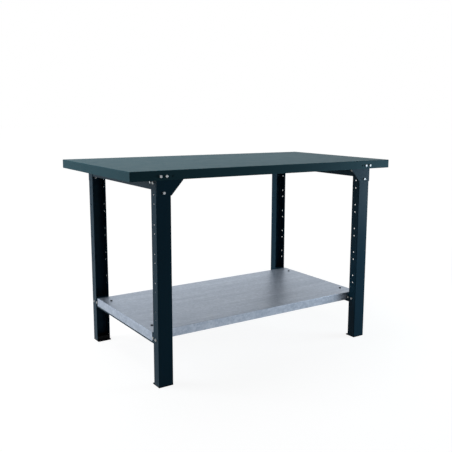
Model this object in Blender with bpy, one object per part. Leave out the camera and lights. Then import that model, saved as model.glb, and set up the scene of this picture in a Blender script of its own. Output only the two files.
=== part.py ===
"""A steel workbench: a folded worktop tray on four channel legs, with end rails and a galvanised shelf.

Metres, +Z up. The origin is on the floor under the middle of the bench, +X runs along its length,
and the front is at -Y. Every piece stands at its real size and place.
"""

import math

import bmesh
import bpy
from mathutils import Vector

# Driving dimensions
BENCH_LENGTH = 1.400
BENCH_DEPTH = 0.750
BENCH_HEIGHT = 0.900
END_OVERHANG = 0.118
SIDE_OVERHANG = 0.017
SHELF_BOLT_HEIGHT = 0.201

# Fits and cuts
GAP = 0.0003
OVERRUN = 0.004

# Worktop tray: folded sheet, with a lip under its edge and an upstand behind it at the front and back
TRAY_SHEET = 0.0015
TRAY_EDGE = 0.039
TRAY_END_LIP = 0.027
TRAY_BEND = 0.0025
UPSTAND_SLOT = 0.0055

# Worktop core board
CORE_SETBACK = 0.0115

# Legs: U-channels that open towards the middle of the bench
LEG_SHEET = 0.002
LEG_WIDTH = 0.066
LEG_DEPTH = 0.045
LEG_BEND = 0.003
LEG_TOP_DROP = 0.005

# Adjusting holes in the leg flanges: pairs up the leg, above the hole that carries the shelf
HOLE_SETBACK = 0.023
HOLE_STEP = 0.120
HOLE_PAIR = 0.0365

# End rails: U-channels between the flanges of a front and a back leg
RAIL_SHEET = 0.002
RAIL_BEND = 0.0025
RAIL_SETBACK = 0.0125
UPPER_RAIL_DEPTH = 0.0425
UPPER_RAIL_BOLT_DROP = 0.0140
LOWER_RAIL_DEPTH = 0.0445
LOWER_RAIL_BOLT_DROP = 0.0215

# Gusset plates on the leg faces
GUSSET_SHEET = 0.003
GUSSET_DROP = 0.0645
GUSSET_WING = 0.055
GUSSET_WING_EDGE = 0.003
GUSSET_INSET = 0.001
GUSSET_BOLT_RISE = 0.0125

# Shelf: a pan with turned-down edges that fits over the lower rails
SHELF_SHEET = 0.0012
SHELF_EDGE = 0.038
SHELF_LIP = 0.015
SHELF_BEND = 0.002
SHELF_CLEARANCE = 0.0155
SHELF_SCREW_FROM_END = 0.0387
SHELF_SCREW_FROM_SIDE = 0.080

# Feet: a plate under the leg with a plug inside its channel
FOOT_PLATE = 0.004
FOOT_TOE = 0.014
FOOT_PLUG = 0.018

# Hexagon bolts and nuts
BOLT_RADIUS = 0.003
BOLT_CLEARANCE = 0.0003
HEAD_ACROSS_FLATS = 0.010
HEAD_THICKNESS = 0.004
NUT_THICKNESS = 0.005
BOLT_TAIL = 0.003
ROUND_SIDES = 8
HEX_SIDES = 6

# Bolts through the tray's edge, with a strip nut behind the leg's face
TRAY_BOLT_PITCH = 0.026
TRAY_BOLT_OFFSET = 0.007
TRAY_BOLT_RISE = 0.0155
NUT_PLATE_SHEET = 0.003
NUT_PLATE_LENGTH = 0.045
NUT_PLATE_WIDTH = 0.022

# Button-head shelf screws
SCREW_RADIUS = 0.003
SCREW_HEAD_RADIUS = 0.0055
SCREW_SINK = 0.0002
SCREW_TAIL = 0.008

# Colours in linear light
PAINT_COLOUR = (0.022, 0.048, 0.060, 1)
WORKTOP_COLOUR = (0.060, 0.115, 0.130, 1)
GALVANISED_COLOUR = (0.42, 0.47, 0.52, 1)
ZINC_COLOUR = (0.60, 0.60, 0.58, 1)
BLACK_COLOUR = (0.012, 0.013, 0.014, 1)
BOARD_COLOUR = (0.42, 0.30, 0.18, 1)

# Places that several pieces share, measured from the middle of the bench or from the floor
TRAY_X = BENCH_LENGTH / 2
TRAY_Y = BENCH_DEPTH / 2
TRAY_BOTTOM = BENCH_HEIGHT - TRAY_EDGE
SHEET_BOTTOM = BENCH_HEIGHT - TRAY_SHEET
LEG_OUTER_X = TRAY_X - END_OVERHANG
LEG_INNER_X = LEG_OUTER_X - LEG_WIDTH
LEG_MIDDLE_X = LEG_OUTER_X - LEG_WIDTH / 2
LEG_FACE_Y = TRAY_Y - SIDE_OVERHANG
LEG_EDGE_Y = LEG_FACE_Y - LEG_DEPTH
LEG_BACK_OF_FACE_Y = LEG_FACE_Y - LEG_SHEET
LEG_BOTTOM = FOOT_PLATE + GAP
LEG_TOP = BENCH_HEIGHT - LEG_TOP_DROP
HOLE_Y = LEG_FACE_Y - HOLE_SETBACK
CORE_BOTTOM = TRAY_BOTTOM + TRAY_SHEET + GAP
FLANGE_TOP = CORE_BOTTOM - GAP
CORE_Y = LEG_BACK_OF_FACE_Y - CORE_SETBACK
GUSSET_BACK_Y = LEG_FACE_Y + GAP
GUSSET_FRONT_Y = GUSSET_BACK_Y + GUSSET_SHEET
GUSSET_BOTTOM = TRAY_BOTTOM - GUSSET_DROP
UPSTAND_BACK_Y = GUSSET_FRONT_Y + GAP
UPSTAND_TOP = SHEET_BOTTOM - UPSTAND_SLOT
RAIL_OUTER_X = LEG_OUTER_X - LEG_SHEET - GAP
RAIL_INNER_X = LEG_INNER_X + LEG_SHEET + GAP
RAIL_Y = LEG_FACE_Y - RAIL_SETBACK
UPPER_RAIL_TOP = FLANGE_TOP
UPPER_RAIL_BOLT_Z = UPPER_RAIL_TOP - UPPER_RAIL_BOLT_DROP
HOLE_PAIRS = int((UPPER_RAIL_TOP - UPPER_RAIL_DEPTH - SHELF_BOLT_HEIGHT) / HOLE_STEP)
LOWER_RAIL_TOP = SHELF_BOLT_HEIGHT + LOWER_RAIL_BOLT_DROP
SHELF_HEIGHT = LOWER_RAIL_TOP + GAP + SHELF_SHEET
SHELF_X = RAIL_OUTER_X + GAP + SHELF_SHEET
SHELF_Y = LEG_EDGE_Y - SHELF_CLEARANCE
SHELF_SCREW_X = SHELF_X - SHELF_SCREW_FROM_END
SHELF_SCREW_Y = SHELF_Y - SHELF_SCREW_FROM_SIDE
TRAY_BOLT_Z = TRAY_BOTTOM + TRAY_BOLT_RISE
TRAY_BOLT_MIDDLE_X = LEG_MIDDLE_X + TRAY_BOLT_OFFSET
TRAY_BOLT_OUTER_X = TRAY_BOLT_MIDDLE_X + TRAY_BOLT_PITCH / 2
TRAY_BOLT_INNER_X = TRAY_BOLT_OUTER_X - TRAY_BOLT_PITCH
TRAY_SPARE_X = TRAY_BOLT_INNER_X - TRAY_BOLT_PITCH
NUT_PLATE_FRONT_Y = LEG_BACK_OF_FACE_Y - GAP
NUT_PLATE_BACK_Y = NUT_PLATE_FRONT_Y - NUT_PLATE_SHEET
GUSSET_BOLT_Z = GUSSET_BOTTOM + GUSSET_BOLT_RISE
BOLT_HOLE_RADIUS = (BOLT_RADIUS + BOLT_CLEARANCE) / math.cos(math.pi / ROUND_SIDES)
SCREW_HOLE_RADIUS = (SCREW_RADIUS + BOLT_CLEARANCE) / math.cos(math.pi / ROUND_SIDES)
SCREW_HEAD_HOLE_RADIUS = (SCREW_HEAD_RADIUS + BOLT_CLEARANCE) / math.cos(math.pi / ROUND_SIDES)
SCREW_HEAD_HEIGHT = SHELF_SHEET - SCREW_SINK
HEAD_RADIUS = HEAD_ACROSS_FLATS / 2 / math.cos(math.pi / HEX_SIDES)

ENDS = {"left": -1, "right": 1}
FACES = {"front": -1, "back": 1}


def empty_scene():
    for old in list(bpy.data.objects):
        bpy.data.objects.remove(old, do_unlink=True)


def new_collection(name, hidden):
    made = bpy.data.collections.new(name)
    bpy.context.scene.collection.children.link(made)
    made.hide_render = hidden
    return made


def new_material(name, colour, roughness, metallic):
    made = bpy.data.materials.new(name)
    made.use_nodes = True
    shader = made.node_tree.nodes["Principled BSDF"]
    shader.inputs["Base Color"].default_value = colour
    shader.inputs["Roughness"].default_value = roughness
    shader.inputs["Metallic"].default_value = metallic
    return made


def span(near, far, sign):
    """The low and high ends of a stretch given by its distances from the middle, on one side of it."""
    return (near, far) if sign > 0 else (-far, -near)


def both(reach):
    return (-reach, reach)


def object_from(bm, name, collection):
    mesh = bpy.data.meshes.new(name)
    bm.to_mesh(mesh)
    bm.free()
    made = bpy.data.objects.new(name, mesh)
    collection.objects.link(made)
    return made


def block(name, xs, ys, zs, collection, bend=0.0, bent=None):
    """A box between two corners. The edges that bent() picks by their middle and direction are rounded by bend."""
    bm = bmesh.new()
    bmesh.ops.create_cube(bm, size=1)
    middle = Vector((sum(xs), sum(ys), sum(zs))) / 2
    size = Vector((xs[1] - xs[0], ys[1] - ys[0], zs[1] - zs[0]))
    bmesh.ops.scale(bm, vec=size, verts=bm.verts)
    if bent:
        edges = [e for e in bm.edges if bent((e.verts[0].co + e.verts[1].co) / 2, e.verts[0].co - e.verts[1].co)]
        bmesh.ops.bevel(bm, geom=edges, offset=bend, segments=2, profile=0.5, affect="EDGES")
    made = object_from(bm, name, collection)
    made.location = middle
    return made


def prism(name, start, direction, radius, length, sides, collection):
    """A round or hexagonal bar from start along direction."""
    bm = bmesh.new()
    bmesh.ops.create_cone(
        bm, cap_ends=True, segments=sides, radius1=radius, radius2=radius, depth=length
    )
    bmesh.ops.translate(bm, verts=bm.verts, vec=(0, 0, length / 2))
    made = object_from(bm, name, collection)
    made.location = start
    made.rotation_mode = "QUATERNION"
    made.rotation_quaternion = Vector(direction).to_track_quat("Z", "Y")
    return made


def combine(target, tool, operation):
    """Cuts the tool from the target, or joins it on, and keeps the tool as a hidden helper."""
    change = target.modifiers.new(tool.name, "BOOLEAN")
    change.operation = operation
    change.solver = "EXACT"
    change.object = tool
    tool.hide_render = True
    tool.display_type = "WIRE"


def cut(target, *tools):
    for tool in tools:
        combine(target, tool, "DIFFERENCE")


def join(target, *tools):
    for tool in tools:
        combine(target, tool, "UNION")


def finished(obj, material, smooth=False):
    obj.data.materials.clear()
    obj.data.materials.append(material)
    if smooth:
        obj.data.shade_smooth()
        obj.data.set_sharp_from_angle(angle=math.radians(35))
    return obj


def settled_mesh(obj, name):
    """The object's mesh with its Booleans worked in, for copies that share it. The object becomes a helper."""
    bpy.context.view_layer.update()
    graph = bpy.context.evaluated_depsgraph_get()
    mesh = bpy.data.meshes.new_from_object(obj.evaluated_get(graph))
    mesh.name = name
    obj.hide_render = True
    obj.display_type = "WIRE"
    return mesh


def place(mesh, name, point, direction, collection):
    made = bpy.data.objects.new(name, mesh)
    made.location = point
    made.rotation_mode = "QUATERNION"
    made.rotation_quaternion = Vector(direction).to_track_quat("Z", "Y")
    collection.objects.link(made)
    return made


def upright(direction):
    return abs(direction.z) > abs(direction.x) + abs(direction.y)


def make_tray(parts, cutters, material):
    """The top sheet with its four edge walls, their lips, and the upstands that the gussets bolt to."""
    def bent(middle, direction):
        return upright(direction) or middle.z > 0

    tray = block(
        "top_tray", both(TRAY_X), both(TRAY_Y), (TRAY_BOTTOM, BENCH_HEIGHT), parts, TRAY_BEND, bent
    )
    inner_x = TRAY_X - TRAY_SHEET
    inner_y = TRAY_Y - TRAY_SHEET
    hollow = block(
        "cut_tray_hollow", both(inner_x), both(inner_y), (TRAY_BOTTOM + TRAY_SHEET, SHEET_BOTTOM), cutters
    )
    mouth = block(
        "cut_tray_mouth", both(TRAY_X - TRAY_END_LIP), both(UPSTAND_BACK_Y),
        (TRAY_BOTTOM - OVERRUN, SHEET_BOTTOM - UPSTAND_SLOT), cutters
    )
    cut(tray, hollow, mouth)
    for face, toward in FACES.items():
        upstand = block(
            f"add_upstand_{face}", both(TRAY_X - TRAY_END_LIP),
            span(UPSTAND_BACK_Y, UPSTAND_BACK_Y + TRAY_SHEET, toward),
            (TRAY_BOTTOM + TRAY_SHEET / 2, UPSTAND_TOP), cutters
        )
        join(tray, upstand)
        for end, side in ENDS.items():
            for place_name, x in (
                ("outer", TRAY_BOLT_OUTER_X), ("inner", TRAY_BOLT_INNER_X), ("spare", TRAY_SPARE_X)
            ):
                start = (side * x, toward * (UPSTAND_BACK_Y - OVERRUN), TRAY_BOLT_Z)
                drill = prism(
                    f"cut_tray_{face}_{end}_{place_name}", start, (0, toward, 0), BOLT_HOLE_RADIUS,
                    TRAY_Y - UPSTAND_BACK_Y + 2 * OVERRUN, ROUND_SIDES, cutters
                )
                cut(tray, drill)
    return finished(tray, material)


def make_core(parts, material):
    core = block(
        "top_core", both(TRAY_X - TRAY_SHEET - GAP), both(CORE_Y), (CORE_BOTTOM, SHEET_BOTTOM - GAP), parts
    )
    return finished(core, material)


def leg_hole_heights():
    """Heights of the adjusting holes: one for the shelf's bolt, then pairs up the leg."""
    heights = [SHELF_BOLT_HEIGHT]
    for count in range(HOLE_PAIRS):
        upper = SHELF_BOLT_HEIGHT + (count + 1) * HOLE_STEP
        heights += [upper - HOLE_PAIR, upper]
    return heights


def make_leg(end, side, face, toward, parts, cutters, material):
    def bent(middle, direction):
        return upright(direction) and middle.y * toward > 0

    name = f"leg_{face}_{end}"
    xs = span(LEG_INNER_X, LEG_OUTER_X, side)
    leg = block(name, xs, span(LEG_EDGE_Y, LEG_FACE_Y, toward), (LEG_BOTTOM, LEG_TOP), parts, LEG_BEND, bent)
    hollow = block(
        f"cut_{name}_hollow", span(LEG_INNER_X + LEG_SHEET, LEG_OUTER_X - LEG_SHEET, side),
        span(LEG_EDGE_Y - OVERRUN, LEG_BACK_OF_FACE_Y, toward), (LEG_BOTTOM - OVERRUN, LEG_TOP + OVERRUN), cutters
    )
    shoulder = block(
        f"cut_{name}_shoulder", span(LEG_INNER_X - OVERRUN, LEG_OUTER_X + OVERRUN, side),
        span(LEG_EDGE_Y - OVERRUN, LEG_FACE_Y - LEG_BEND - GAP, toward), (FLANGE_TOP, LEG_TOP + OVERRUN), cutters
    )
    cut(leg, hollow, shoulder)
    for count, height in enumerate(leg_hole_heights() + [UPPER_RAIL_BOLT_Z]):
        start = (side * (LEG_INNER_X - OVERRUN), toward * HOLE_Y, height)
        cut(leg, prism(
            f"cut_{name}_hole_{count}", start, (side, 0, 0), BOLT_HOLE_RADIUS,
            LEG_WIDTH + 2 * OVERRUN, ROUND_SIDES, cutters
        ))
    for hole, x, z in face_bolts():
        start = (side * x, toward * (LEG_BACK_OF_FACE_Y - OVERRUN), z)
        cut(leg, prism(
            f"cut_{name}_{hole}", start, (0, toward, 0), BOLT_HOLE_RADIUS, LEG_SHEET + 2 * OVERRUN,
            ROUND_SIDES, cutters
        ))
    return finished(leg, material)


def face_bolts():
    """The bolts through a leg's main face: name, distance from the bench's middle, height."""
    return (
        ("outer", TRAY_BOLT_OUTER_X, TRAY_BOLT_Z),
        ("inner", TRAY_BOLT_INNER_X, TRAY_BOLT_Z),
        ("gusset", LEG_MIDDLE_X, GUSSET_BOLT_Z),
    )


def plate_from_outline(name, outline, thickness, collection):
    """A flat plate in its own XY plane, centred on it, from a filled flat curve."""
    curve = bpy.data.curves.new(name, "CURVE")
    curve.dimensions = "2D"
    curve.fill_mode = "BOTH"
    curve.extrude = thickness / 2
    line = curve.splines.new("POLY")
    line.points.add(len(outline) - 1)
    for point, (across, up) in zip(line.points, outline):
        point.co = (across, up, 0, 1)
    line.use_cyclic_u = True
    drawn = bpy.data.objects.new(name + "_outline", curve)
    collection.objects.link(drawn)
    bpy.context.view_layer.update()
    mesh = bpy.data.meshes.new_from_object(drawn.evaluated_get(bpy.context.evaluated_depsgraph_get()))
    bpy.data.objects.remove(drawn, do_unlink=True)
    bm = bmesh.new()
    bm.from_mesh(mesh)
    bmesh.ops.remove_doubles(bm, verts=bm.verts, dist=GAP / 3)
    bmesh.ops.recalc_face_normals(bm, faces=bm.faces)
    bpy.data.meshes.remove(mesh)
    return object_from(bm, name, collection)


def make_gusset(end, side, face, toward, parts, cutters, material):
    """A plate on the leg's face whose wing spreads towards the bench's middle under the worktop."""
    name = f"gusset_{face}_{end}"
    outer = LEG_OUTER_X - GUSSET_INSET
    wing = LEG_INNER_X - GUSSET_WING
    wing_foot = TRAY_BOTTOM - GUSSET_WING_EDGE
    outline = (
        (side * outer, GUSSET_BOTTOM), (side * LEG_INNER_X, GUSSET_BOTTOM), (side * wing, wing_foot),
        (side * wing, LEG_TOP), (side * outer, LEG_TOP),
    )
    gusset = plate_from_outline(name, outline, GUSSET_SHEET, parts)
    gusset.rotation_euler = (math.radians(90), 0, 0)
    gusset.location = (0, toward * (GUSSET_BACK_Y + GUSSET_FRONT_Y) / 2, 0)
    for hole, x, z in face_bolts() + (("spare", TRAY_SPARE_X, TRAY_BOLT_Z),):
        start = (side * x, toward * (GUSSET_BACK_Y - OVERRUN), z)
        cut(gusset, prism(
            f"cut_{name}_{hole}", start, (0, toward, 0), BOLT_HOLE_RADIUS, GUSSET_SHEET + 2 * OVERRUN,
            ROUND_SIDES, cutters
        ))
    return finished(gusset, material)


def make_rail(name, side, top, depth, bolt_height, screw_holes, parts, cutters, material):
    """A channel with its web on top, between the flanges of the front and the back leg."""
    def bent(middle, direction):
        return abs(direction.y) > abs(direction.x) + abs(direction.z) and middle.z > 0

    rail = block(
        name, span(RAIL_INNER_X, RAIL_OUTER_X, side), both(RAIL_Y), (top - depth, top), parts, RAIL_BEND, bent
    )
    cut(rail, block(
        f"cut_{name}_hollow", span(RAIL_INNER_X + RAIL_SHEET, RAIL_OUTER_X - RAIL_SHEET, side),
        both(RAIL_Y + OVERRUN), (top - depth - OVERRUN, top - RAIL_SHEET), cutters
    ))
    for face, toward in FACES.items():
        start = (side * (RAIL_INNER_X - OVERRUN), toward * HOLE_Y, bolt_height)
        cut(rail, prism(
            f"cut_{name}_{face}", start, (side, 0, 0), BOLT_HOLE_RADIUS,
            RAIL_OUTER_X - RAIL_INNER_X + 2 * OVERRUN, ROUND_SIDES, cutters
        ))
        if screw_holes:
            start = (side * SHELF_SCREW_X, toward * SHELF_SCREW_Y, top - RAIL_SHEET - OVERRUN)
            cut(rail, prism(
                f"cut_{name}_{face}_screw", start, (0, 0, 1), SCREW_HOLE_RADIUS, RAIL_SHEET + 2 * OVERRUN,
                ROUND_SIDES, cutters
            ))
    return finished(rail, material)


def make_shelf(parts, cutters, material):
    """A pan turned upside down: its end walls hang outside the rails, its long walls stop between them."""
    def bent(middle, direction):
        return upright(direction) or middle.z > 0

    edge_bottom = SHELF_HEIGHT - SHELF_EDGE
    shelf = block(
        "shelf", both(SHELF_X), both(SHELF_Y), (edge_bottom, SHELF_HEIGHT), parts, SHELF_BEND, bent
    )
    sheet_bottom = SHELF_HEIGHT - SHELF_SHEET
    wall_end_x = RAIL_INNER_X - GAP
    cut(shelf, block(
        "cut_shelf_hollow", both(SHELF_X - SHELF_SHEET), both(SHELF_Y - SHELF_SHEET),
        (edge_bottom + SHELF_SHEET, sheet_bottom), cutters
    ))
    cut(shelf, block(
        "cut_shelf_mouth", both(wall_end_x + OVERRUN), both(SHELF_Y - SHELF_LIP),
        (edge_bottom - OVERRUN, edge_bottom + SHELF_EDGE / 2), cutters
    ))
    for end, side in ENDS.items():
        cut(shelf, block(
            f"cut_shelf_notch_{end}", span(wall_end_x, SHELF_X - SHELF_SHEET, side), both(SHELF_Y + OVERRUN),
            (edge_bottom - OVERRUN, sheet_bottom), cutters
        ))
        for face, toward in FACES.items():
            start = (side * SHELF_SCREW_X, toward * SHELF_SCREW_Y, sheet_bottom - OVERRUN)
            cut(shelf, prism(
                f"cut_shelf_screw_{face}_{end}", start, (0, 0, 1), SCREW_HEAD_HOLE_RADIUS,
                SHELF_SHEET + 2 * OVERRUN, ROUND_SIDES, cutters
            ))
    return finished(shelf, material)


def make_foot(end, side, face, toward, parts, cutters, material):
    """A plate under the leg that reaches past its open side, with a plug up inside the channel."""
    name = f"foot_{face}_{end}"
    foot = block(
        name, span(LEG_INNER_X, LEG_OUTER_X, side), span(LEG_EDGE_Y - FOOT_TOE, LEG_FACE_Y, toward),
        (0, FOOT_PLATE), parts
    )
    plug = block(
        f"add_{name}_plug", span(LEG_INNER_X + LEG_SHEET + GAP, LEG_OUTER_X - LEG_SHEET - GAP, side),
        span(LEG_EDGE_Y, LEG_BACK_OF_FACE_Y - GAP, toward), (FOOT_PLATE / 2, FOOT_PLATE + FOOT_PLUG), cutters
    )
    join(foot, plug)
    return finished(foot, material)


def bolt_mesh(name, reach, cutters):
    """A hexagon bolt along +Z: its head starts at zero and its shank goes down by reach."""
    head = prism(f"make_{name}", (0, 0, 0), (0, 0, 1), HEAD_RADIUS, HEAD_THICKNESS, HEX_SIDES, cutters)
    shank = prism(
        f"add_{name}", (0, 0, -reach), (0, 0, 1), BOLT_RADIUS, reach + HEAD_THICKNESS / 2, ROUND_SIDES, cutters
    )
    join(head, shank)
    return settled_mesh(head, name)


def nut_mesh(name, cutters):
    """A hexagon nut that starts at zero and goes up its thickness."""
    nut = prism(f"make_{name}", (0, 0, 0), (0, 0, 1), HEAD_RADIUS, NUT_THICKNESS, HEX_SIDES, cutters)
    bore = prism(
        f"cut_{name}", (0, 0, -OVERRUN), (0, 0, 1), BOLT_HOLE_RADIUS, NUT_THICKNESS + 2 * OVERRUN,
        ROUND_SIDES, cutters
    )
    cut(nut, bore)
    return settled_mesh(nut, name)


def screw_mesh(name, reach, cutters):
    """A flat-headed screw along +Z, its head above zero and its shank below. The heads sit flush in the shelf."""
    head = prism(
        f"make_{name}", (0, 0, 0), (0, 0, 1), SCREW_HEAD_RADIUS, SCREW_HEAD_HEIGHT, ROUND_SIDES, cutters
    )
    shank = prism(
        f"add_{name}", (0, 0, -reach), (0, 0, 1), SCREW_RADIUS, reach + SCREW_HEAD_HEIGHT / 2, ROUND_SIDES, cutters
    )
    join(head, shank)
    return settled_mesh(head, name)


def make_nut_plate(end, side, face, toward, parts, cutters, material):
    name = f"nut_plate_{face}_{end}"
    half = NUT_PLATE_LENGTH / 2
    plate = block(
        name, span(TRAY_BOLT_MIDDLE_X - half, TRAY_BOLT_MIDDLE_X + half, side),
        span(NUT_PLATE_BACK_Y, NUT_PLATE_FRONT_Y, toward),
        (TRAY_BOLT_Z - NUT_PLATE_WIDTH / 2, TRAY_BOLT_Z + NUT_PLATE_WIDTH / 2), parts
    )
    for hole, x in (("outer", TRAY_BOLT_OUTER_X), ("inner", TRAY_BOLT_INNER_X)):
        start = (side * x, toward * (NUT_PLATE_BACK_Y - OVERRUN), TRAY_BOLT_Z)
        cut(plate, prism(
            f"cut_{name}_{hole}", start, (0, toward, 0), BOLT_HOLE_RADIUS, NUT_PLATE_SHEET + 2 * OVERRUN,
            ROUND_SIDES, cutters
        ))
    return finished(plate, material)


def make_fasteners(parts, cutters, zinc, black):
    tray_reach = TRAY_Y + GAP - NUT_PLATE_BACK_Y + BOLT_TAIL
    gusset_nut_y = LEG_BACK_OF_FACE_Y - GAP
    gusset_reach = GUSSET_FRONT_Y + GAP - gusset_nut_y + NUT_THICKNESS + BOLT_TAIL
    rail_reach = LEG_WIDTH + 2 * GAP + NUT_THICKNESS + BOLT_TAIL
    tray_bolt = bolt_mesh("tray_bolt", tray_reach, cutters)
    gusset_bolt = bolt_mesh("gusset_bolt", gusset_reach, cutters)
    rail_bolt = bolt_mesh("rail_bolt", rail_reach, cutters)
    nut = nut_mesh("nut", cutters)
    screw = screw_mesh("shelf_screw", GAP + RAIL_SHEET + SCREW_TAIL, cutters)
    made = []
    for end, side in ENDS.items():
        for face, toward in FACES.items():
            corner = f"{face}_{end}"
            out = (0, toward, 0)
            for row, x in (("outer", TRAY_BOLT_OUTER_X), ("inner", TRAY_BOLT_INNER_X)):
                point = (side * x, toward * (TRAY_Y + GAP), TRAY_BOLT_Z)
                made.append(place(tray_bolt, f"tray_bolt_{corner}_{row}", point, out, parts))
            point = (side * LEG_MIDDLE_X, toward * (GUSSET_FRONT_Y + GAP), GUSSET_BOLT_Z)
            made.append(place(gusset_bolt, f"gusset_bolt_{corner}", point, out, parts))
            point = (side * LEG_MIDDLE_X, toward * gusset_nut_y, GUSSET_BOLT_Z)
            made.append(place(nut, f"gusset_nut_{corner}", point, (0, -toward, 0), parts))
            for level, height in (("upper", UPPER_RAIL_BOLT_Z), ("lower", SHELF_BOLT_HEIGHT)):
                point = (side * (LEG_OUTER_X + GAP), toward * HOLE_Y, height)
                made.append(place(rail_bolt, f"{level}_rail_bolt_{corner}", point, (side, 0, 0), parts))
                point = (side * (LEG_INNER_X - GAP), toward * HOLE_Y, height)
                made.append(place(nut, f"{level}_rail_nut_{corner}", point, (-side, 0, 0), parts))
    for piece in made:
        finished(piece, zinc)
    for end, side in ENDS.items():
        for face, toward in FACES.items():
            point = (side * SHELF_SCREW_X, toward * SHELF_SCREW_Y, LOWER_RAIL_TOP + GAP)
            finished(place(screw, f"shelf_screw_{face}_{end}", point, (0, 0, 1), parts), black)


def make_bench():
    empty_scene()
    parts = new_collection("workbench", False)
    cutters = new_collection("cutters", True)
    paint = new_material("paint", PAINT_COLOUR, 0.42, 0.0)
    worktop = new_material("worktop_paint", WORKTOP_COLOUR, 0.40, 0.0)
    galvanised = new_material("galvanised", GALVANISED_COLOUR, 0.38, 0.85)
    zinc = new_material("zinc", ZINC_COLOUR, 0.30, 0.9)
    black = new_material("black", BLACK_COLOUR, 0.55, 0.0)
    board = new_material("board", BOARD_COLOUR, 0.85, 0.0)
    make_tray(parts, cutters, worktop)
    make_core(parts, board)
    make_shelf(parts, cutters, galvanised)
    for end, side in ENDS.items():
        make_rail(
            f"upper_rail_{end}", side, UPPER_RAIL_TOP, UPPER_RAIL_DEPTH, UPPER_RAIL_BOLT_Z, False,
            parts, cutters, paint
        )
        make_rail(
            f"lower_rail_{end}", side, LOWER_RAIL_TOP, LOWER_RAIL_DEPTH, SHELF_BOLT_HEIGHT, True,
            parts, cutters, paint
        )
        for face, toward in FACES.items():
            make_leg(end, side, face, toward, parts, cutters, paint)
            make_gusset(end, side, face, toward, parts, cutters, paint)
            make_foot(end, side, face, toward, parts, cutters, black)
            make_nut_plate(end, side, face, toward, parts, cutters, zinc)
    make_fasteners(parts, cutters, zinc, black)


make_bench()
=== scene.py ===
"""Looks of the steel workbench: fine sheet-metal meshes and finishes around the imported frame.

Metres, +Z up, the bench's front at -Y. Each fine piece takes its place and size from the node that it
stands for. The second rail bolts, which no node stands for, take theirs from the rails and legs.
"""

import math

import bmesh
import bpy
from mathutils import Matrix, Vector


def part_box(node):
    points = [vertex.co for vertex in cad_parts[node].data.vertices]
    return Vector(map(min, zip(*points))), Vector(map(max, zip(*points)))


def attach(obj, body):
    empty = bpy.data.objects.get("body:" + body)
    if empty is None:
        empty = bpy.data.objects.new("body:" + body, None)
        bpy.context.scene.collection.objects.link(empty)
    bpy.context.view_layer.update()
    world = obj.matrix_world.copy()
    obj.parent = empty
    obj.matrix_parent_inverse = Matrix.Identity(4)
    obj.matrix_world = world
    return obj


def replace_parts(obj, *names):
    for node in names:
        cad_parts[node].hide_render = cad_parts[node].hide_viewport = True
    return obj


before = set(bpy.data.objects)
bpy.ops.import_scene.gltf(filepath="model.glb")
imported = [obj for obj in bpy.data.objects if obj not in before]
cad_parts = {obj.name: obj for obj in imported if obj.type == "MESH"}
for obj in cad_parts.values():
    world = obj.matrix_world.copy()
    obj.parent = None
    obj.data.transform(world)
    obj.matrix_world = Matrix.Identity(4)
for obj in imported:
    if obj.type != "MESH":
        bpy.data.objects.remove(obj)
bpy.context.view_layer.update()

# Camera, as fitted to the bench's edges in the photograph: its middle ray misses the picture's middle
IMAGE_SIZE_PX = 452
FOCAL_PX = 642.72
MIDDLE_RAY_PX = (257.25, 220.51)
SENSOR_WIDTH = 36.0
CAMERA_PLACE = Vector((-1.7087, -2.6237, 1.1228))
CAMERA_YAW = math.radians(35.47)
CAMERA_PITCH = math.radians(9.47)
CAMERA_ROLL = math.radians(0.56)

# Sheet thicknesses, bends and lips
LEG_SHEET = 0.002
LEG_BEND = 0.0032
RAIL_SHEET = 0.002
RAIL_BEND = 0.0028
TRAY_SHEET = 0.0015
TRAY_BEND = 0.0024
TRAY_END_LIP = 0.027
UPSTAND_SLOT = 0.0055
SHELF_SHEET = 0.0012
SHELF_BEND = 0.0020
SHELF_LIP = 0.015
GUSSET_CORNER = 0.0035
GUSSET_WING_DROP = 0.003

# Moulded feet
FOOT_PLATE = 0.004
FOOT_CORNER = 0.0025
PLUG_CORNER = 0.001
PLUG_WALL = 0.004

# Bolts and nuts
BOLT_RADIUS = 0.003
HOLE_RADIUS = 0.0034
HEAD_ACROSS_FLATS = 0.010
HEAD_THICKNESS = 0.004
HEAD_DISH = 0.0006
NUT_THICKNESS = 0.005
FLANGE_LIP = 0.0008
FLANGE_THICKNESS = 0.0011
FLANGE_RIM = 0.45 * FLANGE_THICKNESS
FLANGE_CONE_TOP = 1.3 * FLANGE_THICKNESS
HEXAGON_FOOT = 0.6 * FLANGE_THICKNESS
SHANK_TOP = FLANGE_THICKNESS / 4
THREAD_PITCH = 0.001
THREAD_DEPTH = 0.00036
THREAD_LENGTH = 0.012
THREAD_HALF_FOOT = 0.46 * THREAD_PITCH
SECOND_BOLT_GAP = 0.001

# A hexagon's chamfer and dish, and a flange's edge. All but the angle are shares of a radius
HEX_CHAMFER = math.radians(30)
CHAMFER_START = 0.96
CORNER_CLEAR = 1.02
DISH_RIM = 0.72
DISH_FLOOR = 0.52
FLANGE_UNDERSIDE = 0.96
FLANGE_SHOULDER = 0.98

# Shelf screws: a head's outline and socket in shares of its radius and height, a tip in shares of the radius
SCREW_RADIUS = 0.003
SCREW_HEAD_HEIGHT = 0.0036
SCREW_SOCKET_RADIUS = 0.0020
PAN_HEAD = ((0.97, 0.0), (1.0, 0.08), (1.0, 0.45), (0.95, 0.72), (0.83, 0.92), (0.66, 1.0))
SOCKET_FLOOR = 0.35
SCREW_TIP = 0.8
SCREW_TIP_LENGTH = 0.4

# Fasteners are each turned a little further than the one before, the second rail bolts all alike
SPIN_STEP = math.radians(17)
SECOND_BOLT_SPIN = math.radians(30)

# Adjusting holes in the leg flanges
HOLE_STEP = 0.120
HOLE_PAIR = 0.0365

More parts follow.
